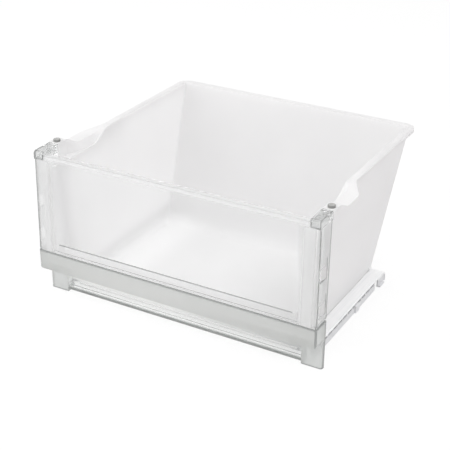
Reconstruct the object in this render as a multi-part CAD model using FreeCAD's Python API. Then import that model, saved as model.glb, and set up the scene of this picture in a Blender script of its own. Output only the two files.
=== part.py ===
import FreeCAD, Part
import math
import os

os.makedirs("parts", exist_ok=True)

# Crisper drawer of a refrigerator, millimetres. +X is to the right of the person who
# faces the drawer, +Y runs from the front to the rear, +Z is up, Z = 0 is the surface
# that the drawer rests on. Lengths along Y are measured from the front face while the
# pieces are built, and every piece is moved to the middle of the depth at the end.

# Whole drawer
drawer_depth = 402.0
rim_height = 237.0
trim_half_width = 237.0

# Moulded tub
tub_wall = 2.5
tub_ground_gap = 8.0
tub_side_inset = 28.5
tub_side_draft = 15.5
tub_rear_slope = 91.0
tub_side_radius = 13.0
tub_corner_radius = 6.0
tub_heel_radius = 23.0

# Rim flange with its down-turned lip
rim_overhang = 9.0
rim_thickness = 2.4
lip_depth = 5.7
lip_thickness = 1.8
rim_corner_radius = 19.0

# Frame round the open front of the tub
frame_setback = 16.0
frame_blend_radius = 14.0
sill_height = 86.5
lower_front_setback = 41.0
ledge_height = 50.0
cheek_depth = 18.0
cheek_thickness = 2.4

# Hand scoop in each side rim and the raised pad before it
scoop_rear_setback = 160.0
scoop_deep_rear_setback = 121.0
scoop_ledge_delay = 7.0
scoop_deep_front_setback = 88.0
scoop_inner_drop = 17.5
scoop_outer_drop = 5.7
scoop_strip_extra_width = 4.0
scoop_steps = 6
pad_front_setback = 41.3
pad_length = 20.0
pad_rise = 6.0
pad_width = 17.6
pad_lip_depth = 3.2
pad_outer_margin = 0.4

# Bumper studs on the pads
bumper_inset = 9.3
bumper_setback = 50.5
bumper_diameter = 11.0
bumper_height = 3.6
bumper_edge_round = 0.9
bumper_dimple_diameter = 5.6
bumper_dimple_depth = 1.0
peg_diameter = 4.0
peg_height = 1.9
peg_clearance = 0.1

# Clear front cover
cover_inset_top = 2.0
cover_inset_base = 0.6
cover_wall = 2.6
cover_face_setback_base = 0.6
cover_lean = 2.2
cover_corner_radius = 3.6
cover_return_depth_top = 39.0
cover_return_depth_base = 33.0
cover_rise_over_rim = 2.0
cover_lip_depth = 10.0
cover_lip_thickness = 2.4
cover_tongue_depth = 14.0
cover_tongue_thickness = 1.2
cover_joint_gap = 3.4
cover_rib_height = 94.0
cover_rib_thickness = 0.9
cover_rib_depth = 1.6
cover_rib_margin = 39.0
fit_clearance = 0.3
seat_gap = 0.2

# Ears of the cover
ear_height = 11.0
ear_wall = 2.0
ear_nose_radius = 5.0
ear_rib_setback = 35.0
ear_rib_thickness = 1.8
ear_diagonal_length = 22.0
ear_notch_setback = 24.5
ear_notch_length = 5.0
ear_notch_depth = 3.2

# Snap windows in the returns of the cover and the wedges of the tub that fill them
snap_window_front_setback = 7.0
snap_window_length = 21.0
snap_window_height = 21.0
snap_window_heights = (102.0, 158.0)
snap_side_gap = 0.3
snap_ramp_length = 4.0
snap_crest_inset = 0.6

# Handle trim: band, side returns, skirt and finger trough
trim_wall = 2.6
trim_corner_radius = 4.0
band_base_height = 47.0
band_top_height = 78.0
band_return_depth = 32.0
band_foot_radius = 5.0
skirt_setback = 25.5
trough_margin = 33.0
trough_depth = 12.5
trough_lip_height = 12.3
trough_lip_radius = 5.0
trough_bend_radius = 6.0

# Runner rails under the sides
runner_height = 18.5
runner_plate = 2.2
runner_reach = 23.0
runner_front_gap = 3.0
runner_tail_overhang = 10.0
runner_tail_radius = 12.0
runner_wall_end_gap = 31.0
runner_tail_wall_length = 28.0
runner_pad_reach = 4.0
runner_pad_length = 18.0
runner_pad_thickness = 2.4
runner_wall = 2.2
runner_wall_inset = 1.0
runner_wall_height = 10.6
runner_edge_bead = 0.9
gusset_pitch = 17.5
gusset_thickness = 2.2
gusset_first_gap = 13.0
gusset_depth = 9.0
runner_lug_setback = 198.0
runner_lug_length = 14.0
runner_lug_reach = 2.4
runner_lug_height = 12.4
runner_tab_height = 5.0
runner_tab_length = 8.0
foot_width = 22.0
foot_thickness = 2.2
stake_diameter = 5.0
stake_head_diameter = 8.6
stake_head_height = 1.8
stake_inset = 12.0
stake_end_gap = 36.0
stake_count = 3

# Sizes that follow from the ones above
tub_mouth_half_width = trim_half_width - tub_side_inset
tub_base_half_width = tub_mouth_half_width - tub_side_draft
tub_mouth_rear = drawer_depth - rim_overhang
tub_base_rear = tub_mouth_rear - tub_rear_slope
pad_outer_x = trim_half_width - pad_outer_margin
pad_inner_x = pad_outer_x - pad_width
bumper_x = trim_half_width - bumper_inset
trough_half_width = trim_half_width - trough_margin
runner_outer_x = tub_base_half_width + runner_reach
runner_front_setback = lower_front_setback + runner_front_gap
runner_tail_setback = tub_base_rear + runner_tail_overhang
runner_foot_rear = tub_base_rear - foot_width
cover_half_width_top = trim_half_width - cover_inset_top
cover_half_width_base = trim_half_width - cover_inset_base
cover_base = band_top_height + cover_joint_gap
pad_top = rim_height + pad_rise
cover_top = rim_height + cover_rise_over_rim
ear_floor_top = pad_top - ear_height
ear_floor_base = ear_floor_top - ear_wall
frame_top = ear_floor_base - seat_gap
rim_half_width = tub_mouth_half_width + rim_overhang
rim_base = rim_height - rim_thickness
tub_rise = rim_height - tub_ground_gap
floor_top = tub_ground_gap + tub_wall
overshoot = 20.0


def point(x, y, z):
    return FreeCAD.Vector(x, y, z)


def box(x_range, y_range, z_range):
    corner = point(x_range[0], y_range[0], z_range[0])
    size = [high - low for low, high in (x_range, y_range, z_range)]
    return Part.makeBox(size[0], size[1], size[2], corner)


def mirrored(shape):
    return shape.mirror(point(0, 0, 0), point(1, 0, 0))


def outline(points):
    return Part.makePolygon(points + [points[0]])


def side_prism(profile, x_from, x_to):
    """Solid whose Y-Z profile runs along X."""
    face = Part.Face(outline([point(x_from, y, z) for y, z in profile]))
    return face.extrude(point(x_to - x_from, 0, 0))


def arc_yz(centre_y, centre_z, radius, degrees):
    """Arc in the Y-Z plane through three angles, counted from +Y towards +Z."""
    ends = []
    for angle in degrees:
        turn = math.radians(angle)
        y = centre_y + radius * math.cos(turn)
        z = centre_z + radius * math.sin(turn)
        ends.append(point(0, y, z))
    return Part.Arc(ends[0], ends[1], ends[2]).toShape()


def between(low, high, share):
    return low + (high - low) * share


def eased(share):
    """Smooth step from 0 to 1 with level ends."""
    clipped = min(max(share, 0.0), 1.0)
    return clipped * clipped * (3.0 - 2.0 * clipped)


def softened(share):
    """Straight run from 0 to 1 with slightly rounded ends."""
    clipped = min(max(share, 0.0), 1.0)
    return (clipped + eased(clipped)) / 2.0


def largest_solid(shape):
    return max(shape.Solids, key=lambda solid: solid.Volume)


# Places on the tub that slope with its draft
def wall_x(z):
    """Half width of the outer side wall at a height."""
    share = (z - tub_ground_gap) / tub_rise
    return between(tub_base_half_width, tub_mouth_half_width, share)


def wall_rear(z):
    """Setback of the outer rear wall at a height."""
    share = (z - tub_ground_gap) / tub_rise
    return between(tub_base_rear, tub_mouth_rear, share)


def cover_x(z):
    """Half width of the outer cover at a height."""
    share = (z - cover_base) / (cover_top - cover_base)
    return between(cover_half_width_base, cover_half_width_top, share)


def cover_face(z):
    """Setback of the cover's front face at a height."""
    share = (z - cover_base) / (cover_top - cover_base)
    return cover_face_setback_base + cover_lean * share


def cover_return(z):
    """Setback of the rear edge of the cover's side returns at a height."""
    share = (z - cover_base) / (cover_top - cover_base)
    return between(cover_return_depth_base, cover_return_depth_top, share)


def rounded_plan(half_x, front, rear, radius, z):
    """Plan outline with square front corners and rounded rear corners."""
    slant = radius * math.sqrt(0.5)
    corners = [
        point(half_x, front, z),
        point(half_x, rear - radius, z),
        point(half_x - radius + slant, rear - radius + slant, z),
        point(half_x - radius, rear, z),
    ]
    left = [point(-corner.x, corner.y, z) for corner in corners]
    edges = [
        Part.makeLine(left[0], corners[0]),
        Part.makeLine(corners[0], corners[1]),
        Part.Arc(corners[1], corners[2], corners[3]).toShape(),
        Part.makeLine(corners[3], left[3]),
        Part.Arc(left[3], left[2], left[1]).toShape(),
        Part.makeLine(left[1], left[0]),
    ]
    return Part.Wire(edges)


def lowest_edges(block, front, z_from):
    """Straight lower edges of a block that stand behind its front face."""
    found = []
    for edge in block.Edges:
        behind = max(vertex.Y for vertex in edge.Vertexes) > front + tub_wall
        low = max(vertex.Z for vertex in edge.Vertexes) < z_from + tub_wall
        across = edge.BoundBox.XLength > tub_wall
        along = edge.BoundBox.YLength > tub_wall
        if behind and low and (across or along):
            found.append((across, edge))
    return found


def tapered_body(inset, z_from, z_to, front):
    """Tub body inset from its outer faces, with a round heel and rounded side edges."""
    widths = [(wall_x(z) - inset, z) for z in (z_from, z_to)]
    right = [point(x, front, z) for x, z in widths]
    left = [point(-x, front, z) for x, z in widths]
    sides = Part.Face(outline([left[0], right[0], right[1], left[1]]))
    sides = sides.extrude(point(0, drawer_depth + overshoot - front, 0))
    lower_sides = [edge for across, edge in lowest_edges(sides, front, z_from) if not across]
    sides = sides.makeFillet(tub_side_radius - inset, lower_sides)
    rears = [(wall_rear(z) - inset, z) for z in (z_from, z_to)]
    profile = [(front, z_from), rears[0], rears[1], (front, z_to)]
    wide = rim_half_width + overshoot
    length = side_prism(profile, -wide, wide)
    heel = [edge for across, edge in lowest_edges(length, front, z_from) if across]
    length = length.makeFillet(tub_heel_radius - inset, heel)
    body = sides.common(length)
    standing = []
    for edge in body.Edges:
        places = [vertex.X for vertex in edge.Vertexes]
        on_one_side = min(places) > 0 or max(places) < 0
        rearward = min(vertex.Y for vertex in edge.Vertexes) > wall_rear(z_from) - tub_heel_radius
        at_top = min(vertex.Z for vertex in edge.Vertexes) > z_to - tub_wall
        if on_one_side and rearward and not at_top:
            standing.append(edge)
    return body.makeFillet(tub_corner_radius - inset, standing)


def tub_shell():
    """Floor, side walls, rear wall and stepped low front wall."""
    outside = tapered_body(0.0, tub_ground_gap, rim_height, frame_setback)
    inner_front = frame_setback + tub_wall
    above_rim = rim_height + overshoot
    inside = tapered_body(tub_wall, floor_top, above_rim, inner_front)
    wide = rim_half_width + overshoot
    far_front = frame_setback - overshoot
    handle_space = box(
        (-wide, wide), (far_front, lower_front_setback), (tub_ground_gap - overshoot, ledge_height)
    )
    step_block = box(
        (-wide, wide),
        (far_front, lower_front_setback + tub_wall),
        (tub_ground_gap - overshoot, ledge_height + tub_wall),
    )
    window = tapered_body(tub_wall, floor_top, above_rim, far_front)
    window = window.common(box((-wide, wide), (far_front, inner_front), (sill_height, above_rim)))
    return outside.cut(handle_space).cut(inside.cut(step_block)).cut(window)


def standing_slab(near_x, far_x, front, rear):
    """Slab between two slanted sides, from the ledge to the seat of the ear."""
    corners = []
    for z in (ledge_height, frame_top):
        corners.append(point(near_x(z), front, z))
    for z in (frame_top, ledge_height):
        corners.append(point(far_x(z), front, z))
    return Part.Face(outline(corners)).extrude(point(0, rear - front, 0))


def cover_inner_limit(z):
    """Outer face of the cheek: it passes inside the tongue and the returns of the cover."""
    tongue_inner = trim_half_width - trim_wall - fit_clearance - cover_tongue_thickness
    return_inner = cover_x(z) - cover_wall
    return min(tongue_inner, return_inner) - fit_clearance


def front_post():
    """Right post of the front frame: wall end, rounded turn, front plate and cheek."""
    front = frame_setback
    blend_rear = front + frame_blend_radius + tub_wall
    wall_end = standing_slab(lambda z: wall_x(z) - tub_wall, wall_x, front, blend_rear)
    plate = standing_slab(lambda z: wall_x(z) - tub_wall, cover_inner_limit, front, front + tub_wall)
    cheek_inner = lambda z: cover_inner_limit(z) - cheek_thickness
    cheek = standing_slab(cheek_inner, cover_inner_limit, front, front + cheek_depth)
    post = wall_end.fuse([plate, cheek]).removeSplitter()
    outer_turn = post_edges(post, wall_x(ledge_height) - tub_wall, front)
    post = post.makeFillet(frame_blend_radius, outer_turn)
    inner_turn = post_edges(post, wall_x(ledge_height), front + tub_wall)
    return post.makeFillet(frame_blend_radius - tub_wall, inner_turn)


def post_edges(post, x, y):
    """Standing edges of the post whose foot is at a place in plan."""
    found = []
    for edge in post.Edges:
        foot = min(edge.Vertexes, key=lambda vertex: vertex.Z)
        head = max(edge.Vertexes, key=lambda vertex: vertex.Z)
        near = abs(foot.X - x) < tub_wall / 2 and abs(foot.Y - y) < tub_wall / 2
        if near and abs(head.Y - y) < tub_wall / 2 and head.Z - foot.Z > cheek_depth:
            found.append(edge)
    return found


def post_clearance():
    """Corner of the tub body that the rounded post replaces."""
    wide = rim_half_width
    front = frame_setback - overshoot
    rear = frame_setback + frame_blend_radius + tub_wall
    corner_x = wall_x(ledge_height) - overshoot
    return box((corner_x, wide), (front, rear), (sill_height, rim_height + overshoot))


def snap_wedge(height):
    """Wedge on the right cheek that fills a snap window of the cover."""
    low = height - snap_window_height / 2 + snap_side_gap
    high = height + snap_window_height / 2 - snap_side_gap
    front = frame_setback
    rear = snap_window_front_setback + snap_window_length - snap_side_gap
    root = cover_inner_limit(height) - cheek_thickness / 2
    crest = cover_x(height) - snap_crest_inset
    profile = [
        point(root, front, low),
        point(crest - cover_wall, front, low),
        point(crest, front + snap_ramp_length, low),
        point(crest, rear, low),
        point(root, rear, low),
    ]
    return Part.Face(outline(profile)).extrude(point(0, 0, high - low))


def rim_flange():
    """Flat flange along the left, rear and right, with its down-turned lip."""
    front = scoop_rear_setback
    outer = rounded_plan(rim_half_width, front, drawer_depth, rim_corner_radius, rim_height)
    inner_radius = rim_corner_radius - lip_thickness
    lip_inner = rounded_plan(
        rim_half_width - lip_thickness,
        front - overshoot,
        drawer_depth - lip_thickness,
        inner_radius,
        rim_height,
    )
    plate = Part.Face(outer).extrude(point(0, 0, -rim_thickness))
    lip = Part.Face(outer).extrude(point(0, 0, -lip_depth))
    lip = lip.cut(Part.Face(lip_inner).extrude(point(0, 0, -lip_depth)))
    mouth = tapered_body(tub_wall / 2, floor_top, rim_height + overshoot, front - overshoot)
    return plate.fuse(lip).cut(mouth)


def scoop_section(setback):
    """Named places of the right rim section at a setback."""
    pad_rear = pad_front_setback + pad_length
    run = scoop_rear_setback - scoop_deep_rear_setback
    fall = softened((scoop_rear_setback - setback) / run)
    ledge_fall = eased((scoop_rear_setback - scoop_ledge_delay - setback) / run)
    climb = softened((scoop_deep_front_setback - setback) / (scoop_deep_front_setback - pad_rear))
    flat_x = wall_x(rim_height) - tub_wall
    ledge_z = rim_height - scoop_inner_drop
    strip_z = rim_height - scoop_outer_drop
    inner_z = between(rim_height, ledge_z, ledge_fall)
    foot_x = between(flat_x + rim_thickness, wall_x(ledge_z) + rim_thickness / 2, fall)
    foot_x = between(foot_x, pad_inner_x - rim_thickness / 2, climb)
    strip_x = pad_inner_x - scoop_strip_extra_width
    crest_x = between(flat_x + 2 * rim_thickness, strip_x, fall)
    crest_x = between(crest_x, pad_inner_x, climb)
    crest_z = between(between(rim_height, strip_z, fall), pad_top, climb)
    outer_x = between(rim_half_width, pad_outer_x, fall)
    return {
        "inner": (wall_x(inner_z) - tub_wall, inner_z),
        "foot": (foot_x, inner_z),
        "crest": (crest_x, crest_z),
        "outer": (outer_x, crest_z),
        "lip": between(lip_depth, pad_lip_depth, fall),
    }


def scoop_wire(setback):
    """Closed outline of the sheet that forms the rim section."""
    places = scoop_section(setback)
    inner_x, inner_z = places["inner"]
    foot_x, foot_z = places["foot"]
    crest_x, crest_z = places["crest"]
    outer_x, outer_z = places["outer"]
    lip_z = outer_z - places["lip"]
    under = rim_thickness
    outline_points = [
        (inner_x, inner_z),
        (foot_x, foot_z),
        (crest_x, crest_z),
        (outer_x, outer_z),
        (outer_x, lip_z),
        (outer_x - lip_thickness, lip_z),
        (outer_x - lip_thickness, outer_z - under),
        (crest_x + under, crest_z - under),
        (foot_x + under, foot_z - under),
        (inner_x, inner_z - under),
    ]
    return outline([point(x, setback, z) for x, z in outline_points])


def scoop_setbacks():
    """Setbacks of the rim sections from the flat rim to the rear of the pad."""
    pad_rear = pad_front_setback + pad_length
    stations = []
    for step in range(scoop_steps):
        stations.append(between(scoop_rear_setback, scoop_deep_rear_setback, step / scoop_steps))
    stations.append(scoop_deep_rear_setback)
    stations.append(scoop_deep_rear_setback - scoop_ledge_delay)
    for step in range(scoop_steps + 1):
        stations.append(between(scoop_deep_front_setback, pad_rear, step / scoop_steps))
    return stations


def scoop_wing():
    """Right rim from the flat flange through the hand scoop up to the raised pad."""
    stations = scoop_setbacks()
    pad_rear = stations[-1]
    wing = Part.makeLoft([scoop_wire(setback) for setback in stations], True, True)
    pad = Part.Face(scoop_wire(pad_rear)).extrude(point(0, pad_front_setback - pad_rear, 0))
    places = scoop_section(pad_rear)
    front_lip = box(
        (pad_inner_x, places["outer"][0]),
        (pad_front_setback, pad_front_setback + rim_thickness),
        (pad_top - places["lip"], pad_top),
    )
    shelf_z = places["foot"][1]
    shelf = box(
        (places["inner"][0] + tub_wall / 2, places["foot"][0] + rim_thickness),
        (frame_setback + tub_wall / 2, pad_front_setback),
        (shelf_z - rim_thickness, shelf_z),
    )
    return wing.fuse([pad, front_lip, shelf])


def scoop_cutter():
    """Part of the right side wall that stands above the rim section."""
    sections = []
    high = pad_top + overshoot
    stations = scoop_setbacks() + [pad_front_setback, frame_setback]
    reach = tub_wall * 2
    for setback in stations:
        low = scoop_section(setback)["inner"][1] - rim_thickness / 2
        x = wall_x(low)
        corners = [(x - reach, low), (x + reach, low), (x + reach, high), (x - reach, high)]
        sections.append(outline([point(a, setback, b) for a, b in corners]))
    return Part.makeLoft(sections, True, True)


def bumper_peg():
    """Peg on the right pad that carries a bumper."""
    foot = point(bumper_x, bumper_setback, pad_top - rim_thickness / 2)
    return Part.makeCylinder(peg_diameter / 2, rim_thickness / 2 + peg_height, foot)


def stake_setbacks():
    """Setbacks of the stakes that hold a runner under the floor."""
    first = runner_front_setback + stake_end_gap
    last = runner_foot_rear - stake_end_gap / 2
    return [between(first, last, step / (stake_count - 1)) for step in range(stake_count)]


def runner_stake(setback):
    """Moulded stake under the floor with its pressed head, right side."""
    x = wall_x(tub_ground_gap) - stake_inset
    head_top = tub_ground_gap - seat_gap - foot_thickness
    length = tub_ground_gap - head_top + tub_wall / 2
    stake = Part.makeCylinder(stake_diameter / 2, length, point(x, setback, head_top))
    head_base = point(x, setback, head_top - stake_head_height)
    head = Part.makeCylinder(stake_head_diameter / 2, stake_head_height, head_base)
    return stake.fuse(head)


def tub():
    body = tub_shell()
    right = [front_post(), scoop_wing(), bumper_peg()]
    right += [snap_wedge(height) for height in snap_window_heights]
    right += [runner_stake(setback) for setback in stake_setbacks()]
    cutters = [post_clearance(), scoop_cutter()]
    body = body.cut(cutters + [mirrored(cutter) for cutter in cutters])
    additions = [rim_flange()] + right + [mirrored(piece) for piece in right]
    body = body.fuse(additions)
    return largest_solid(body.removeSplitter())


def front_plan(half_x, front, rear, radius, z):
    """Plan outline with rounded front corners and square rear corners."""
    slant = radius * math.sqrt(0.5)
    right = [
        point(half_x - radius, front, z),
        point(half_x - radius + slant, front + radius - slant, z),
        point(half_x, front + radius, z),
        point(half_x, rear, z),
    ]
    left = [point(-corner.x, corner.y, z) for corner in right]
    edges = [
        Part.makeLine(left[0], right[0]),
        Part.Arc(right[0], right[1], right[2]).toShape(),
        Part.makeLine(right[2], right[3]),
        Part.makeLine(right[3], left[3]),
        Part.makeLine(left[3], left[2]),
        Part.Arc(left[2], left[1], left[0]).toShape(),
    ]
    return Part.Wire(edges)


def front_block(half_x, front, rear, radius, z_range):
    """Upright block on such a plan outline."""
    face = Part.Face(front_plan(half_x, front, rear, radius, z_range[0]))
    return face.extrude(point(0, 0, z_range[1] - z_range[0]))


def cover_plan(inset, z, rear):
    """Plan outline of the cover at a height."""
    radius = cover_corner_radius - inset
    return front_plan(cover_x(z) - inset, cover_face(z) + inset, rear, radius, z)


def cover_shell():
    """Front face and side returns, leaning and tapering with height."""
    levels = (cover_base, pad_top)
    outside = [cover_plan(0.0, z, cover_return(z)) for z in levels]
    inside = [cover_plan(cover_wall, z, cover_return(z) + overshoot) for z in levels]
    shell = Part.makeLoft(outside, True, True)
    cavity = Part.makeLoft(inside, True, True)
    shell = shell.cut(cavity)
    between_ears = box(
        (-pad_inner_x, pad_inner_x), (-overshoot, drawer_depth), (cover_top, pad_top + overshoot)
    )
    return shell.cut(between_ears)


def cover_lip():
    """Rearward lip along the top of the front face, between the ears."""
    front = cover_face(cover_top) + cover_wall / 2
    rear = cover_face(cover_top) + cover_lip_depth
    return box(
        (-pad_inner_x - ear_wall / 2, pad_inner_x + ear_wall / 2),
        (front, rear),
        (cover_top - cover_lip_thickness, cover_top),
    )


def cover_tongue():
    """Lower edge of the cover, stepped in to slip behind the handle band."""
    outer_half = trim_half_width - trim_wall - fit_clearance
    front = trim_wall + fit_clearance
    rear = band_return_depth - fit_clearance
    radius = trim_corner_radius - trim_wall - fit_clearance
    skin = cover_tongue_thickness
    shelf_top = cover_base + skin
    low = band_top_height - cover_tongue_depth
    outer = front_block(outer_half, front, rear, radius, (low, shelf_top))
    joint_half = cover_x(cover_base) - cover_wall / 2
    joint_front = cover_face(cover_base) + cover_wall / 2
    shelf = front_block(joint_half, joint_front, rear, radius, (cover_base, shelf_top))
    inner_half = outer_half - skin
    inner = box((-inner_half, inner_half), (front + skin, rear + overshoot), (low, shelf_top))
    return outer.fuse(shelf).cut(inner)


def cover_rib():
    """Thin stiffening rib across the inside of the front face."""
    half = trim_half_width - cover_rib_margin
    inner = cover_face(cover_rib_height) + cover_wall
    return box(
        (-half, half),
        (inner - cover_wall / 2, inner + cover_rib_depth),
        (cover_rib_height, cover_rib_height + cover_rib_thickness),
    )


def ear():
    """Hollow right ear, open to the rear, with a rib and a rounded nose."""
    rear = pad_front_setback - fit_clearance
    nose = cover_face(ear_floor_top)
    outer_x = cover_x(pad_top)
    profile_outer = ear_profile(nose, rear, 0.0)
    shell = side_prism_with_nose(profile_outer, pad_inner_x, outer_x, ear_nose_radius)
    hollow_profile = ear_profile(nose, rear + overshoot, ear_wall)
    hollow = side_prism_with_nose(
        hollow_profile, pad_inner_x + ear_wall, outer_x - ear_wall, ear_nose_radius - ear_wall
    )
    rib_low = ear_floor_base + ear_wall / 2
    rib_high = pad_top - ear_wall / 2
    inner_x = pad_inner_x + ear_wall / 2
    rib = box(
        (inner_x, outer_x - ear_wall / 2),
        (ear_rib_setback, ear_rib_setback + ear_rib_thickness),
        (rib_low, rib_high),
    )
    diagonal_front = ear_rib_setback - ear_diagonal_length
    diagonal = outline([
        point(inner_x, diagonal_front, rib_low),
        point(outer_x - ear_wall / 2, ear_rib_setback, rib_low),
        point(outer_x - ear_wall / 2, ear_rib_setback + ear_rib_thickness, rib_low),
        point(inner_x, diagonal_front + ear_rib_thickness, rib_low),
    ])
    diagonal = Part.Face(diagonal).extrude(point(0, 0, rib_high - rib_low))
    return shell.cut(hollow).fuse([rib, diagonal])


def ear_profile(nose, rear, inset):
    """Front, rear, base and top of the ear, inset by its wall."""
    return (nose + inset, rear, ear_floor_base + inset, pad_top - inset)


def side_prism_with_nose(profile, x_from, x_to, radius):
    """Block along X whose upper front edge is rounded."""
    front, rear, low, high = profile
    slant = radius * math.sqrt(0.5)
    corners = [
        point(x_from, front, low),
        point(x_from, front, high - radius),
        point(x_from, front + radius - slant, high - radius + slant),
        point(x_from, front + radius, high),
        point(x_from, rear, high),
        point(x_from, rear, low),
    ]
    edges = [
        Part.makeLine(corners[0], corners[1]),
        Part.Arc(corners[1], corners[2], corners[3]).toShape(),
        Part.makeLine(corners[3], corners[4]),
        Part.makeLine(corners[4], corners[5]),
        Part.makeLine(corners[5], corners[0]),
    ]
    return Part.Face(Part.Wire(edges)).extrude(point(x_to - x_from, 0, 0))


def ear_notch():
    """Notch in the outer upper edge of the right ear."""
    outer_x = cover_x(pad_top)
    return box(
        (outer_x - ear_notch_depth, outer_x + overshoot),
        (ear_notch_setback, ear_notch_setback + ear_notch_length),
        (pad_top - ear_notch_depth, pad_top + overshoot),
    )


def nose_cutter():
    """Corner of the cover shell in front of the rounded nose of the right ear."""
    wide = cover_half_width_base + overshoot
    nose = cover_face(ear_floor_top)
    block = box(
        (pad_inner_x, wide),
        (nose - overshoot, nose + ear_nose_radius),
        (pad_top - ear_nose_radius, pad_top + overshoot),
    )
    axis_point = point(pad_inner_x, nose + ear_nose_radius, pad_top - ear_nose_radius)
    length = wide - pad_inner_x
    round_bar = Part.makeCylinder(ear_nose_radius, length, axis_point, point(1, 0, 0))
    return block.cut(round_bar)


def snap_window(height):
    """Opening through the right return of the cover."""
    low = height - snap_window_height / 2
    front = snap_window_front_setback
    inner = cover_x(height) - cover_wall - fit_clearance
    return box(
        (inner, inner + overshoot),
        (front, front + snap_window_length),
        (low, low + snap_window_height),
    )


def front_cover():
    shell = cover_shell()
    cutters = [snap_window(height) for height in snap_window_heights] + [nose_cutter()]
    shell = shell.cut(cutters + [mirrored(cutter) for cutter in cutters])
    shell = shell.fuse([cover_lip(), cover_rib(), cover_tongue(), ear(), mirrored(ear())])
    shell = shell.cut([ear_notch(), mirrored(ear_notch())])
    return largest_solid(shell.removeSplitter())


def trim_shell(front, z_range):
    """Front plate and side returns of the trim between two heights."""
    radius = trim_corner_radius
    outer = front_block(trim_half_width, front, band_return_depth, radius, z_range)
    inner_half = trim_half_width - trim_wall
    rear = band_return_depth + overshoot
    inner = front_block(inner_half, front + trim_wall, rear, radius - trim_wall, z_range)
    return outer.cut(inner)


def band():
    """Front plate of the grip, which stands before the skirt."""
    return trim_shell(0.0, (band_base_height, band_top_height))


def skirt():
    """Plate below the band with its window and the step up to the band."""
    step_top = band_base_height + trim_wall
    window = box(
        (-trough_half_width, trough_half_width),
        (skirt_setback - overshoot, band_return_depth + overshoot),
        (-overshoot, step_top + overshoot),
    )
    step = box(
        (trough_half_width, trim_half_width - trim_wall / 2),
        (trim_wall / 2, skirt_setback + trim_wall),
        (band_base_height, step_top),
    )
    plate = trim_shell(skirt_setback, (0.0, step_top)).cut(window)
    return plate.fuse([step, mirrored(step)])


def trough_profile():
    """Y-Z outline of the finger trough sheet, from its rolled lip to the ledge of the tub."""
    back = skirt_setback + trough_depth
    top = ledge_height - seat_gap
    bend = trough_bend_radius
    outer_bend = bend + trim_wall
    bend_y = back - bend
    bend_z = trough_lip_height + bend
    lip = trough_lip_radius
    inner_lip = lip - trim_wall
    lip_y = skirt_setback + lip
    lip_z = trough_lip_height - lip
    edges = [
        arc_yz(lip_y, lip_z, lip, (270, 180, 90)),
        Part.makeLine(point(0, lip_y, trough_lip_height), point(0, bend_y, trough_lip_height)),
        arc_yz(bend_y, bend_z, bend, (270, 315, 360)),
        Part.makeLine(point(0, back, bend_z), point(0, back, top)),
        Part.makeLine(point(0, back, top), point(0, back + trim_wall, top)),
        Part.makeLine(point(0, back + trim_wall, top), point(0, back + trim_wall, bend_z)),
        arc_yz(bend_y, bend_z, outer_bend, (360, 315, 270)),
        Part.makeLine(point(0, bend_y, bend_z - outer_bend), point(0, lip_y, lip_z + inner_lip)),
        arc_yz(lip_y, lip_z, inner_lip, (90, 180, 270)),
        Part.makeLine(point(0, lip_y, lip_z - inner_lip), point(0, lip_y, lip_z - lip)),
    ]
    return Part.Face(Part.Wire(edges))


def trough():
    """Finger trough across the middle with its two end walls."""
    face = trough_profile()
    face.translate(point(-trough_half_width, 0, 0))
    sheet = face.extrude(point(2 * trough_half_width, 0, 0))
    back = skirt_setback + trough_depth
    end_wall = box(
        (trough_half_width, trough_half_width + trim_wall),
        (skirt_setback, back + trim_wall),
        (0, ledge_height - seat_gap),
    )
    return sheet.fuse([end_wall, mirrored(end_wall)])


def foot_round():
    """Rounds the lower outer corner of the right side of the band, seen from the front."""
    radius = band_foot_radius
    corner = box(
        (trim_half_width - radius, trim_half_width + overshoot),
        (-overshoot, skirt_setback),
        (band_base_height - overshoot, band_base_height + radius),
    )
    axis_point = point(trim_half_width - radius, -overshoot, band_base_height + radius)
    bar = Part.makeCylinder(radius, skirt_setback + 2 * overshoot, axis_point, point(0, 1, 0))
    return corner.cut(bar)


def handle_trim():
    shape = band().fuse([skirt(), trough()])
    shape = shape.cut([foot_round(), mirrored(foot_round())])
    return largest_solid(shape.removeSplitter())


def bumper():
    """Round stud with softened edges, a dimple on top and a blind bore for its peg."""
    radius = bumper_diameter / 2
    stud = Part.makeCylinder(radius, bumper_height, point(bumper_x, bumper_setback, pad_top))
    rims = [edge for edge in stud.Edges if len(edge.Vertexes) == 1]
    rims = [edge for edge in rims if edge.Vertexes[0].Z > pad_top + bumper_height / 2]
    stud = stud.makeFillet(bumper_edge_round, rims)
    bore_radius = peg_diameter / 2 + peg_clearance
    bore = Part.makeCylinder(
        bore_radius, peg_height + seat_gap, point(bumper_x, bumper_setback, pad_top)
    )
    dimple_radius = bumper_dimple_diameter / 2
    ball = (dimple_radius ** 2 + bumper_dimple_depth ** 2) / (2 * bumper_dimple_depth)
    top = pad_top + bumper_height
    dimple = Part.makeSphere(ball, point(bumper_x, bumper_setback, top - bumper_dimple_depth + ball))
    return stud.cut([bore, dimple])


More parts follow.
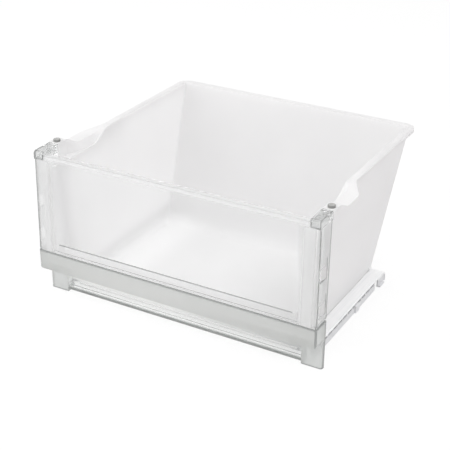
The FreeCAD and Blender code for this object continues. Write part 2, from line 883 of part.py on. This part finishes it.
def runner_tail():
    """Rear end: the top plate curls down to the ground past a side wall with a foot pad."""
    radius = runner_tail_radius
    inner = radius - runner_plate
    centre = runner_tail_setback - radius
    level = runner_height - radius
    x_from = wall_x(runner_height) + seat_gap
    length = runner_outer_x - x_from
    axis = point(1, 0, 0)
    outer_bar = Part.makeCylinder(radius, length, point(x_from, centre, level), axis)
    inner_bar = Part.makeCylinder(inner, length, point(x_from, centre, level), axis)
    sides = (x_from, runner_outer_x)
    quarter = box(sides, (centre, runner_tail_setback), (level, runner_height))
    drop = box(sides, (centre + inner, runner_tail_setback), (0, level))
    wall_face = runner_outer_x - runner_wall_inset
    wall_sides = (wall_face - runner_wall, wall_face)
    wall_front = runner_tail_setback - runner_tail_wall_length
    wall = box(wall_sides, (wall_front, centre), (0, runner_height - runner_plate))
    wall_end = box(wall_sides, (centre, centre + inner), (0, level))
    wall_top = inner_bar.common(box(wall_sides, (centre, runner_tail_setback), (level, runner_height)))
    pad = box(
        (wall_sides[0], wall_face + runner_pad_reach),
        (wall_front, wall_front + runner_pad_length),
        (0, runner_pad_thickness),
    )
    curl = outer_bar.cut(inner_bar).common(quarter)
    return curl.fuse([drop, wall, wall_end, wall_top, pad])


def runner_gusset(setback):
    """Small rib between the outer wall and the top plate."""
    wall_face = runner_outer_x - runner_wall_inset
    return box(
        (wall_face - gusset_depth, wall_face),
        (setback, setback + gusset_thickness),
        (0, runner_height - runner_plate),
    )


def runner_inner_leg():
    """Leg beside the tub wall and the foot plate under the floor."""
    low = tub_ground_gap - seat_gap - foot_thickness
    high = runner_height
    leg_low_x = wall_x(low) + seat_gap
    leg_high_x = wall_x(high) + seat_gap
    profile = [
        (leg_low_x, low),
        (leg_high_x, high),
        (leg_high_x + runner_plate, high),
        (leg_low_x + runner_plate, low),
    ]
    rear = runner_foot_rear
    face = Part.Face(outline([point(x, runner_front_setback, z) for x, z in profile]))
    leg = face.extrude(point(0, rear - runner_front_setback, 0))
    foot = box(
        (leg_low_x - foot_width, leg_low_x + runner_plate / 2),
        (runner_front_setback, rear),
        (low, low + foot_thickness),
    )
    return leg.fuse(foot)


def runner():
    """Right runner rail: top plate, low outer wall, gussets, tail, lug and foot."""
    inner_x = wall_x(runner_height) + seat_gap
    tail_centre = runner_tail_setback - runner_tail_radius
    wall_face = runner_outer_x - runner_wall_inset
    wall_end = tub_base_rear - runner_wall_end_gap
    plate_base = runner_height - runner_plate
    plate = box(
        (inner_x, runner_outer_x), (runner_front_setback, tail_centre), (plate_base, runner_height)
    )
    outer_wall = box(
        (wall_face - runner_wall, wall_face),
        (runner_front_setback, wall_end),
        (0, runner_wall_height),
    )
    bead = Part.makeCylinder(
        runner_edge_bead,
        tail_centre - runner_front_setback,
        point(runner_outer_x - runner_edge_bead, runner_front_setback, runner_height),
        point(0, 1, 0),
    )
    lug = box(
        (wall_face - runner_wall, wall_face + runner_lug_reach),
        (runner_lug_setback - runner_lug_length / 2, runner_lug_setback + runner_lug_length / 2),
        (0, runner_lug_height),
    )
    tab_x = wall_x(runner_height + runner_tab_height) + seat_gap
    tab = box(
        (tab_x, tab_x + runner_plate),
        (tail_centre - runner_tab_length, tail_centre),
        (runner_height, runner_height + runner_tab_height),
    )
    pieces = [outer_wall, bead, lug, tab, runner_tail(), runner_inner_leg()]
    setback = runner_front_setback + gusset_first_gap
    while setback + gusset_thickness < wall_end:
        pieces.append(runner_gusset(setback))
        setback += gusset_pitch
    shape = plate.fuse(pieces)
    stake_x = wall_x(tub_ground_gap) - stake_inset
    hole_radius = stake_diameter / 2 + peg_clearance
    holes = []
    for setback in stake_setbacks():
        holes.append(Part.makeCylinder(hole_radius, runner_height, point(stake_x, setback, 0)))
    return largest_solid(shape.cut(holes).removeSplitter())


def export(name, shape):
    """Move a piece to the middle of the depth and write it."""
    placed = shape.copy()
    placed.translate(point(0, -drawer_depth / 2, 0))
    placed.exportStep("parts/" + name + ".step")
    bounds = placed.BoundBox
    print(name, placed.isValid(), len(placed.Solids), round(placed.Volume), bounds)


export("tub", tub())
export("front_cover", front_cover())
export("handle_trim", handle_trim())
right_bumper = bumper()
export("right_bumper", right_bumper)
export("left_bumper", mirrored(right_bumper))
right_runner = runner()
export("right_runner", right_runner)
export("left_runner", mirrored(right_runner))
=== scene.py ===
import math

import bpy
from mathutils import Matrix, Vector


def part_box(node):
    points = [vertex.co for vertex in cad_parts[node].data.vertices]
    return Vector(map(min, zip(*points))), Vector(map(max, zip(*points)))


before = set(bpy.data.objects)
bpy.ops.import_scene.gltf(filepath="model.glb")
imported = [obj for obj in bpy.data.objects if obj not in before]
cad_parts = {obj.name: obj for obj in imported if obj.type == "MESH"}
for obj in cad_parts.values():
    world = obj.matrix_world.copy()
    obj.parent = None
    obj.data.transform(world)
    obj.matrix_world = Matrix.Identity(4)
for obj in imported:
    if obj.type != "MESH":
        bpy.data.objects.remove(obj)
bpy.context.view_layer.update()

# Crisper drawer: white tapered tub, clear front cover, grey tinted handle trim,
# grey studs and white runner rails, on a plain white floor.

# Camera of the photograph, in metres, radians and pixels
camera_place = Vector((0.756, -1.385, 0.888))
camera_azimuth = math.radians(29.29)
camera_pitch = math.radians(26.66)
camera_roll = math.radians(0.39)
image_side = 450.0
focal_pixels = 1111.1
principal_x = 224.23
principal_y = 223.11
sensor_width = 36.0
nearest_seen = 0.05
farthest_seen = 50.0

# Lamps: place and side in metres, power in watts
lamp_aim = Vector((0.0, 0.0, 0.12))
lamps = {
    "top_lamp": (Vector((0.45, 0.0, 2.1)), 2.4, 20.5),
    "front_lamp": (Vector((-1.0, -2.0, 1.0)), 1.6, 12.0),
    "left_lamp": (Vector((-2.0, -0.3, 0.9)), 1.6, 10.5),
}

# Room and floor; colours are in linear light
background_white = (1.0, 1.0, 1.0)
room_strength = 0.75
backdrop_strength = 1.0
floor_colour = (0.85, 0.85, 0.85)
floor_roughness = 0.9
floor_gloss = 0.1
floor_glow = 1.04
floor_glow_share = 0.8
floor_half_width = 6.0
floor_level = -0.0004

# Noise: its detail, and the stretch of its values that is used
soft_detail = 3.0
plain_detail = 2.0
noise_range = (0.3, 0.7)

# Places of the two values and the result among the sockets of the mix node
mix_sockets = {"FLOAT": (2, 3, 0), "RGBA": (6, 7, 2)}

# A zone is a part of a piece with a look of its own. Each of its limits names an axis, the
# place where the mask is 0 and the place where it is 1, in metres of the row frame.
# Side counts from the middle to both sides, across from left to right, and lean is the
# depth less what the face of the cover leans back at that height.
cover_slant = 0.039
soft_end = 0.0002


def stretch(axis, low, high):
    """Limits of a stretch along an axis, with soft ends."""
    return (axis, low - soft_end, low + soft_end), (axis, high + soft_end, high - soft_end)


class Graph:
    """Short calls for the nodes of one material or world."""

    def __init__(self, owner, output_kind):
        self.owner = owner
        owner.use_nodes = True
        self.tree = owner.node_tree
        self.tree.nodes.clear()
        self.output = self.node(output_kind)

    def fill(self, socket, value):
        """Link a socket, or set its value; a colour gets full opacity."""
        if isinstance(value, bpy.types.NodeSocket):
            self.tree.links.new(value, socket)
        elif socket.type == "RGBA":
            socket.default_value = (*value, 1.0)
        else:
            socket.default_value = value

    def node(self, kind, inputs=(), **settings):
        """New node with its settings and inputs."""
        made = self.tree.nodes.new("ShaderNode" + kind)
        for key, value in settings.items():
            setattr(made, key, value)
        for key, value in dict(inputs).items():
            self.fill(made.inputs[key], value)
        return made

    def math(self, operation, first, second=0.0):
        """Result of one sum on numbers."""
        return self.node("Math", {0: first, 1: second}, operation=operation).outputs["Value"]

    def joined(self, operation, values):
        """One number from several, such as their product or the highest."""
        result = values[0]
        for value in values[1:]:
            result = self.math(operation, result, value)
        return result

    def place(self):
        """Coordinates of the row frame, in metres."""
        return self.node("TexCoord").outputs["Object"]

    def measure(self, axis):
        """Place along one of the axes that the zones name."""
        place = self.node("SeparateXYZ", {"Vector": self.place()}).outputs
        if axis == "side":
            return self.math("ABSOLUTE", place["X"])
        if axis == "lean":
            return self.math("SUBTRACT", place["Y"], self.math("MULTIPLY", place["Z"], cover_slant))
        return place[{"across": "X", "depth": "Y", "height": "Z"}[axis]]

    def ramp(self, value, limits, first, second, kind="LINEAR"):
        """Map a value from between two limits to between two others."""
        inputs = {
            "Value": value,
            "From Min": limits[0],
            "From Max": limits[1],
            "To Min": first,
            "To Max": second,
        }
        return self.node("MapRange", inputs, interpolation_type=kind).outputs["Result"]

    def scaled(self, mask, first, second):
        """Map a mask to between two shares."""
        return self.ramp(mask, (0.0, 1.0), first, second)

    def step(self, value, limits):
        """Smooth step from 0 at the first limit to 1 at the second."""
        return self.ramp(value, limits, 0.0, 1.0, "SMOOTHSTEP")

    def zone(self, limits):
        """Mask of a zone: the product of its limits."""
        steps = [self.step(self.measure(axis), (zero, one)) for axis, zero, one in limits]
        return self.joined("MULTIPLY", steps)

    def zones(self, several):
        """Mask of several zones together."""
        return self.joined("MAXIMUM", [self.zone(limits) for limits in several])

    def noise(self, scale, detail=soft_detail):
        """Moulding variation over the surface, with a scale in turns per metre."""
        inputs = {"Vector": self.place(), "Scale": scale, "Detail": detail}
        return self.node("TexNoise", inputs).outputs["Fac"]

    def mixed(self, kind, share, values):
        """Blend of two values of one kind by a mask."""
        first, second, result = mix_sockets[kind]
        inputs = {"Factor": share, first: values[0], second: values[1]}
        return self.node("Mix", inputs, data_type=kind).outputs[result]

    def mixed_value(self, share, *numbers):
        """Blend of two numbers by a mask."""
        return self.mixed("FLOAT", share, numbers)

    def mixed_colour(self, share, *colours):
        """Blend of two colours by a mask."""
        return self.mixed("RGBA", share, colours)

    def mixed_shader(self, share, first, second):
        """Blend of two shaders by a mask."""
        return self.node("MixShader", {"Fac": share, 1: first.outputs[0], 2: second.outputs[0]})

    def bump(self, height, grain):
        """Normal of a fine relief, from its strength and its depth in metres."""
        inputs = {"Height": height, "Strength": grain[0], "Distance": grain[1]}
        return self.node("Bump", inputs).outputs["Normal"]

    def finish(self, shader):
        """Put a shader on the surface and give the material or world."""
        self.tree.links.new(shader.outputs[0], self.output.inputs["Surface"])
        return self.owner


def material_graph(name):
    """Graph of a new material."""
    return Graph(bpy.data.materials.new(name), "OutputMaterial")


# Tub: milky white, and a share of the light passes through its walls; the outward faces of its side
# walls carry painted shade, and so do its snap wedges
tub_white = (0.948, 0.944, 0.945)
tub_shade = (0.928, 0.924, 0.926)
tub_outer_painted_shade = (0.890, 0.884, 0.886)
# Painted shade on the snap wedges, where they sit in the cover's windows
wedge_painted_shade = (0.86, 0.855, 0.855)
tub_roughness = (0.30, 0.38)
tub_gloss = 0.45
tub_cloud_scale = 9.0
tub_grain_scale = 1400.0
tub_grain = (0.06, 0.0004)
tub_light_share = 0.70
low_light_share = 0.20
low_left_light_share = 0.04
low_left_across = (-0.15, -0.10)
scoop_light_share = 0.45
outward_range = (0.80, 0.90)
outer_height = (0.03, 0.14)
outer_low_share = 0.3
wedge_zone = (("side", 0.2322, 0.2328), ("height", 0.190, 0.186), ("depth", -0.160, -0.165))
base_zone = (("height", 0.050, 0.022), ("depth", -0.145, -0.125))
scoop_zone = (("height", 0.195, 0.225), ("depth", 0.02, -0.03))


def outer_painted_shade_mask(graph):
    """Mask of the painted shade on the outward faces of the side walls, weaker near the floor."""
    normal = graph.node("NewGeometry").outputs["True Normal"]
    facing = graph.node("SeparateXYZ", {"Vector": normal}).outputs["X"]
    outward = graph.math("MULTIPLY", facing, graph.math("SIGN", graph.measure("across")))
    rise = graph.ramp(graph.measure("height"), outer_height, outer_low_share, 1.0)
    return graph.math("MULTIPLY", graph.step(outward, outward_range), rise)


def tub_light_mask(graph):
    """Share of light through the tub: less in its base, least at the left, and less at the scoops."""
    across = graph.measure("across")
    low = graph.ramp(across, low_left_across, low_left_light_share, low_light_share)
    share = graph.mixed_value(graph.zone(base_zone), tub_light_share, low)
    return graph.mixed_value(graph.zone(scoop_zone), share, scoop_light_share)


def milky_material():
    """Milky white moulding with a fine satin grain that lets a good part of the light pass, with
    painted shade on its outward faces and snap wedges.
    """
    graph = material_graph("milky_plastic_look")
    cloud = graph.noise(tub_cloud_scale)
    colour = graph.mixed_colour(graph.ramp(cloud, noise_range, 0.0, 1.0), tub_white, tub_shade)
    colour = graph.mixed_colour(graph.zone(wedge_zone), colour, wedge_painted_shade)
    colour = graph.mixed_colour(outer_painted_shade_mask(graph), colour, tub_outer_painted_shade)
    inputs = {
        "Base Color": colour,
        "Roughness": graph.ramp(cloud, noise_range, *tub_roughness),
        "Normal": graph.bump(graph.noise(tub_grain_scale, plain_detail), tub_grain),
        "Specular IOR Level": tub_gloss,
    }
    wall = graph.node("BsdfPrincipled", inputs)
    light = graph.node("BsdfTranslucent", {"Color": colour})
    return graph.finish(graph.mixed_shader(tub_light_mask(graph), wall, light))


# Clear plastics: the cover and the trim
acrylic_index = 1.49
clear_wave_scale = 12.0
clear_wave = (0.01, 0.001)
milk_roughness = 0.3
milk_light_share = 0.5
# Painted shade and dark reflections on thin edges of the cover and the trim
painted_edge_shade = (0.36, 0.37, 0.365)
painted_edge_share = 0.75


def clear_plastic(graph, cloud, cloud_share, tint, depth_tint, density, roughness):
    """Plastic that refracts, gathers its tint with depth, clouds by a share and lets lamps through."""
    wave = graph.noise(clear_wave_scale, plain_detail)
    normal = graph.bump(wave, clear_wave)
    inputs = {
        "Base Color": tint,
        "Roughness": graph.ramp(wave, noise_range, *roughness),
        "Normal": normal,
        "Transmission Weight": 1.0,
        "IOR": acrylic_index,
    }
    clear = graph.node("BsdfPrincipled", inputs)
    inputs = {"Base Color": cloud, "Roughness": milk_roughness, "Normal": normal}
    body = graph.node("BsdfPrincipled", inputs)
    light = graph.node("BsdfTranslucent", {"Color": cloud})
    skin = graph.mixed_shader(cloud_share, clear, graph.mixed_shader(milk_light_share, body, light))
    through = graph.node("BsdfTransparent", {"Color": tint})
    path = graph.node("LightPath").outputs
    lamp_rays = graph.math("MAXIMUM", path["Is Shadow Ray"], path["Is Diffuse Ray"])
    depth = graph.node("VolumeAbsorption", {"Color": depth_tint, "Density": density})
    graph.tree.links.new(depth.outputs[0], graph.output.inputs["Volume"])
    return graph.finish(graph.mixed_shader(lamp_rays, skin, through))


# Cover: its returns and ears are frosted, its face is whiter at the ends and carries painted shade at
# the lower right, and the lip along its top carries a painted highlight, nearly white
cover_plastic = {
    "tint": (0.99, 0.992, 0.992),
    "depth_tint": (0.35, 0.41, 0.40),
    "density": 6.0,
    "roughness": (0.01, 0.04),
}
cover_cloud = (0.60, 0.605, 0.60)
cover_cloud_shade = (0.54, 0.545, 0.54)
cover_cloud_scale = 60.0
face_end_white = (0.80, 0.80, 0.80)
# Painted highlight: the lip along the top of the cover is painted nearly white
lip_painted_highlight = (0.90, 0.90, 0.90)
clear_share = 0.01
return_share = 0.21
ear_share = 0.18
face_end_share = 0.40
# Share of the painted shade at the lower right of the face
lower_right_shade_share = 0.16
lip_share = 0.45
return_zone = (("side", 0.2295, 0.2325), ("height", 0.2320, 0.2290))
ear_zone = (("side", 0.2165, 0.2185), ("height", 0.2290, 0.2320))
lip_zone = (("side", 0.2185, 0.2165), ("height", 0.2325, 0.2335))
face_zone = (("lean", -0.1985, -0.2005), ("height", 0.2320, 0.2290))
face_end_zone = face_zone + (("side", 0.2000, 0.2160), ("across", 0.2300, 0.2270))
lower_right_shade_zone = face_zone + (("across", 0.06, 0.22), ("height", 0.20, 0.11))

# Thin edges of the cover with painted shade and dark reflections: the rear edges of its returns, its
# left corner, the rib inside it and the edges of its snap windows
rear_edge_zone = return_zone + (("lean", -0.1730, -0.1722),)
corner_zone = face_zone + (("across", -0.2318, -0.2328),)
rib_end = ("side", 0.1987, 0.1983)
rib_zone = (rib_end, *stretch("height", 0.0938, 0.0951), ("depth", -0.1978, -0.1974))
window_bases = (0.102, 0.158)
window_height = 0.021
window_depth = stretch("depth", -0.1736, -0.1716)
window_zones = [
    return_zone + window_depth + stretch("height", base, base + window_height)
    for base in window_bases
]
cover_shade_line_zones = [rear_edge_zone, corner_zone, rib_zone, *window_zones]


def cover_material():
    """Clear front cover with frosted parts, painted shade and dark reflections on its thin edges,
    painted shade at the lower right and a painted highlight on its lip.
    """
    graph = material_graph("clear_plastic_look")
    face_ends = graph.zone(face_end_zone)
    lip = graph.zone(lip_zone)
    shade_lines = graph.zones(cover_shade_line_zones)
    shares = [
        graph.scaled(graph.zone(return_zone), clear_share, return_share),
        graph.scaled(graph.zone(ear_zone), clear_share, ear_share),
        graph.scaled(face_ends, 0.0, face_end_share),
        graph.scaled(graph.zone(lower_right_shade_zone), 0.0, lower_right_shade_share),
        graph.scaled(shade_lines, 0.0, painted_edge_share),
        graph.scaled(lip, 0.0, lip_share),
    ]
    share = graph.joined("MAXIMUM", shares)
    cloud = graph.mixed_colour(graph.noise(cover_cloud_scale), cover_cloud, cover_cloud_shade)
    cloud = graph.mixed_colour(face_ends, cloud, face_end_white)
    cloud = graph.mixed_colour(lip, cloud, lip_painted_highlight)
    cloud = graph.mixed_colour(shade_lines, cloud, painted_edge_shade)
    return clear_plastic(graph, cloud, share, **cover_plastic)


# Trim: its finger trough carries painted light, white at the left and with painted shade growing to
# the right, and clears at its foot; its outer ends and the legs beside the trough are more even in
# tone
trim_low, trim_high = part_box("handle_trim")
trim_plastic = {
    "tint": (0.985, 0.99, 0.985),
    "depth_tint": (0.30, 0.34, 0.32),
    "density": 10.0,
    "roughness": (0.03, 0.08),
}
trim_cloud = (0.67, 0.675, 0.665)
trim_cloud_shade = (0.64, 0.645, 0.635)
trim_cloud_scale = 10.0
end_cloud = (0.66, 0.67, 0.665)
end_blend = 0.7
trough_painted_light_left = (0.97, 0.97, 0.965)
trough_painted_shade_right = (0.58, 0.59, 0.585)
trough_across = (-0.03, 0.17)
# Painted shade on the lower half of the trim's rolled lip
roll_painted_shade = (0.36, 0.37, 0.36)
trim_share = 0.50
trough_foot_share = 0.12
inside = ("side", 0.2050, 0.2030)
outside = ("side", trim_high[0] - 0.0025, trim_high[0] - 0.0015)
trough_zone = (inside, ("height", 0.0470, 0.0460))
trough_foot_zone = (inside, ("height", 0.0180, 0.0140))
roll_shade_zone = (inside, ("height", 0.0096, 0.0082))
end_zones = [(outside,), (("side", 0.2050, 0.2070), ("height", 0.0470, 0.0460))]

# Thin edges of the trim that look darker: a dark joint along its top, and painted shade at the rear
# edge and the front corner of its side returns and at the foot of its legs
trim_edge_zones = [
    (("height", trim_high[2] - 0.0024, trim_high[2] - 0.0016),),
    (outside, ("depth", -0.1735, -0.1727)),
    (("side", 0.2340, 0.2350), ("depth", trim_low[1] + 0.0035, trim_low[1] + 0.0025)),
    (("side", 0.2055, 0.2065), ("height", 0.0018, 0.0012)),
]


def trim_material():
    """Grey tinted handle trim with painted light in its trough, painted shade on its edges and under
    its rolled lip, and a dark joint along its top.
    """
    graph = material_graph("tinted_plastic_look")
    roll = graph.zone(roll_shade_zone)
    edges = graph.zones(trim_edge_zones)
    shade_lines = graph.scaled(graph.math("MAXIMUM", roll, edges), 0.0, painted_edge_share)
    share = graph.mixed_value(graph.zone(trough_foot_zone), trim_share, trough_foot_share)
    share = graph.math("MAXIMUM", share, shade_lines)
    wave = graph.ramp(graph.noise(trim_cloud_scale), noise_range, 0.0, 1.0)
    cloud = graph.mixed_colour(wave, trim_cloud, trim_cloud_shade)
    ends = graph.scaled(graph.zones(end_zones), 0.0, end_blend)
    cloud = graph.mixed_colour(ends, cloud, end_cloud)
    rightward = graph.ramp(graph.measure("across"), trough_across, 0.0, 1.0)
    painted_trough_light_and_shade = graph.mixed_colour(rightward, trough_painted_light_left, trough_painted_shade_right)
    cloud = graph.mixed_colour(graph.zone(trough_zone), cloud, painted_trough_light_and_shade)
    cloud = graph.mixed_colour(edges, cloud, painted_edge_shade)
    cloud = graph.mixed_colour(roll, cloud, roll_painted_shade)
    return clear_plastic(graph, cloud, share, **trim_plastic)


# Studs: their top is painted lighter as light and their side painted darker as shade; their middle,
# and the stretch of radius over which the top turns into the side, come from the size of the right one
stud_low, stud_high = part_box("right_bumper")
stud_middle = ((stud_low[0] + stud_high[0]) / 2, (stud_low[1] + stud_high[1]) / 2, 0.0)
stud_radius = (stud_high[0] - stud_low[0]) / 2
stud_turn = (stud_radius - 0.0015, stud_radius - 0.0003)
stud_side_painted_shade = (0.25, 0.25, 0.243)
stud_top_painted_light = (0.42, 0.42, 0.41)
stud_speck = (0.33, 0.33, 0.32)
stud_speck_share = 0.25
stud_speck_scale = 900.0
stud_grain = (0.15, 0.0002)
stud_roughness = (0.42, 0.58)


def stud_material():
    """Grey soft studs with a painted light top and a painted shade side."""
    graph = material_graph("grey_rubber_look")
    speck = graph.noise(stud_speck_scale, plain_detail)
    inputs = {"X": graph.measure("side"), "Y": graph.measure("depth"), "Z": 0.0}
    flat = graph.node("CombineXYZ", inputs).outputs["Vector"]
    inputs = {0: flat, 1: stud_middle}
    reach = graph.node("VectorMath", inputs, operation="DISTANCE").outputs["Value"]
    stud_light_and_shade = graph.mixed_colour(graph.step(reach, stud_turn), stud_top_painted_light, stud_side_painted_shade)
    share = graph.ramp(speck, noise_range, 0.0, stud_speck_share)
    inputs = {
        "Base Color": graph.mixed_colour(share, stud_light_and_shade, stud_speck),
        "Roughness": graph.ramp(speck, noise_range, *stud_roughness),
        "Normal": graph.bump(speck, stud_grain),
    }
    return graph.finish(graph.node("BsdfPrincipled", inputs))


# Rails: their rubbing marks are long in the depth, and their foot carries painted shade
rail_white = (0.965, 0.965, 0.97)
rail_rubbed = (0.86, 0.87, 0.88)
rail_foot_painted_shade = (0.76, 0.76, 0.775)
rail_streak_scale = (700.0, 12.0, 700.0)
rail_streak_range = (0.45, 0.75)
rail_gloss_range = (0.4, 0.7)
rail_roughness = (0.32, 0.5)
rail_grain = (0.05, 0.0002)
rail_foot_shade_zone = (("height", 0.0125, 0.0105),)


def rail_material():
    """White rail plastic with faint rubbing marks along the sliding direction, and painted shade at
    its foot.
    """
    graph = material_graph("white_plastic_look")
    stretched = graph.node("Mapping", {"Vector": graph.place(), "Scale": rail_streak_scale})
    inputs = {"Vector": stretched.outputs["Vector"], "Scale": 1.0, "Detail": plain_detail}
    streak = graph.node("TexNoise", inputs).outputs["Fac"]
    share = graph.ramp(streak, rail_streak_range, 0.0, 1.0)
    colour = graph.mixed_colour(share, rail_white, rail_rubbed)
    colour = graph.mixed_colour(graph.zone(rail_foot_shade_zone), colour, rail_foot_painted_shade)
    inputs = {
        "Base Color": colour,
        "Roughness": graph.ramp(streak, rail_gloss_range, *rail_roughness),
        "Normal": graph.bump(streak, rail_grain),
    }
    return graph.finish(graph.node("BsdfPrincipled", inputs))


def dress(node, material):
    """Give every material slot of a CAD node the same look."""
    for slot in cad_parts[node].material_slots:
        slot.material = material


def dress_all():
    """Dress the seven pieces."""
    dress("tub", milky_material())
    dress("front_cover", cover_material())
    dress("handle_trim", trim_material())
    studs = stud_material()
    rails = rail_material()
    for side in ("left", "right"):
        dress(side + "_bumper", studs)
        dress(side + "_runner", rails)


def add_camera():
    """Camera with the fitted place, direction and lens of the photograph."""
    forward = Vector((
        -math.sin(camera_azimuth) * math.cos(camera_pitch),
        math.cos(camera_azimuth) * math.cos(camera_pitch),
        -math.sin(camera_pitch),
    ))
    level_right = forward.cross(Vector((0, 0, 1))).normalized()
    level_up = level_right.cross(forward)
    right = level_right * math.cos(camera_roll) + level_up * math.sin(camera_roll)
    up = level_up * math.cos(camera_roll) - level_right * math.sin(camera_roll)
    data = bpy.data.cameras.new("photo_camera")
    data.sensor_width = sensor_width
    data.lens = focal_pixels / image_side * sensor_width
    data.shift_x = (image_side / 2 - principal_x) / image_side
    data.shift_y = (principal_y - image_side / 2) / image_side
    data.clip_start = nearest_seen
    data.clip_end = farthest_seen
    camera = bpy.data.objects.new("photo_camera", data)
    turn = Matrix((right, up, -forward)).transposed().to_4x4()
    camera.matrix_world = Matrix.Translation(camera_place) @ turn
    bpy.context.scene.collection.objects.link(camera)
    bpy.context.scene.camera = camera


def floor_material():
    """Pale floor that looks white to the camera, gloss and clear plastic, and keeps a faint shadow."""
    graph = material_graph("floor_look")
    path = graph.node("LightPath").outputs
    rays = [path["Is Camera Ray"], path["Is Glossy Ray"], path["Is Transmission Ray"]]
    share = graph.math("MULTIPLY", graph.joined("MAXIMUM", rays), floor_glow_share)
    inputs = {
        "Base Color": floor_colour,
        "Roughness": floor_roughness,
        "Specular IOR Level": floor_gloss,
    }
    matt = graph.node("BsdfPrincipled", inputs)
    glow = graph.node("Emission", {"Color": background_white, "Strength": floor_glow})
    return graph.finish(graph.mixed_shader(share, matt, glow))


def add_floor():
    """Plain floor just below the drawer."""
    half = floor_half_width
    corners = [
        (x * half, y * half, floor_level)
        for x, y in ((-1, -1), (1, -1), (1, 1), (-1, 1))
    ]
    mesh = bpy.data.meshes.new("floor")
    mesh.from_pydata(corners, [], [(0, 1, 2, 3)])
    mesh.materials.append(floor_material())
    floor = bpy.data.objects.new("floor", mesh)
    bpy.context.scene.collection.objects.link(floor)


def add_lamps():
    """Large soft lamps above, in front and to the left."""
    for name, (place, side, power) in lamps.items():
        data = bpy.data.lights.new(name, "AREA")
        data.shape = "SQUARE"
        data.size = side
        data.energy = power
        lamp = bpy.data.objects.new(name, data)
        lamp.location = place
        lamp.rotation_euler = (lamp_aim - place).to_track_quat("-Z", "Y").to_euler()
        bpy.context.scene.collection.objects.link(lamp)


def add_room():
    """Even light from all round, and a white backdrop for the camera."""
    graph = Graph(bpy.data.worlds.new("studio"), "OutputWorld")
    room = graph.node("Background", {"Color": background_white, "Strength": room_strength})
    seen = graph.node("Background", {"Color": background_white, "Strength": backdrop_strength})
    share = graph.node("LightPath").outputs["Is Camera Ray"]
    bpy.context.scene.world = graph.finish(graph.mixed_shader(share, room, seen))


dress_all()
add_camera()
add_floor()
add_lamps()
add_room()
bpy.context.scene.view_settings.view_transform = "Standard"
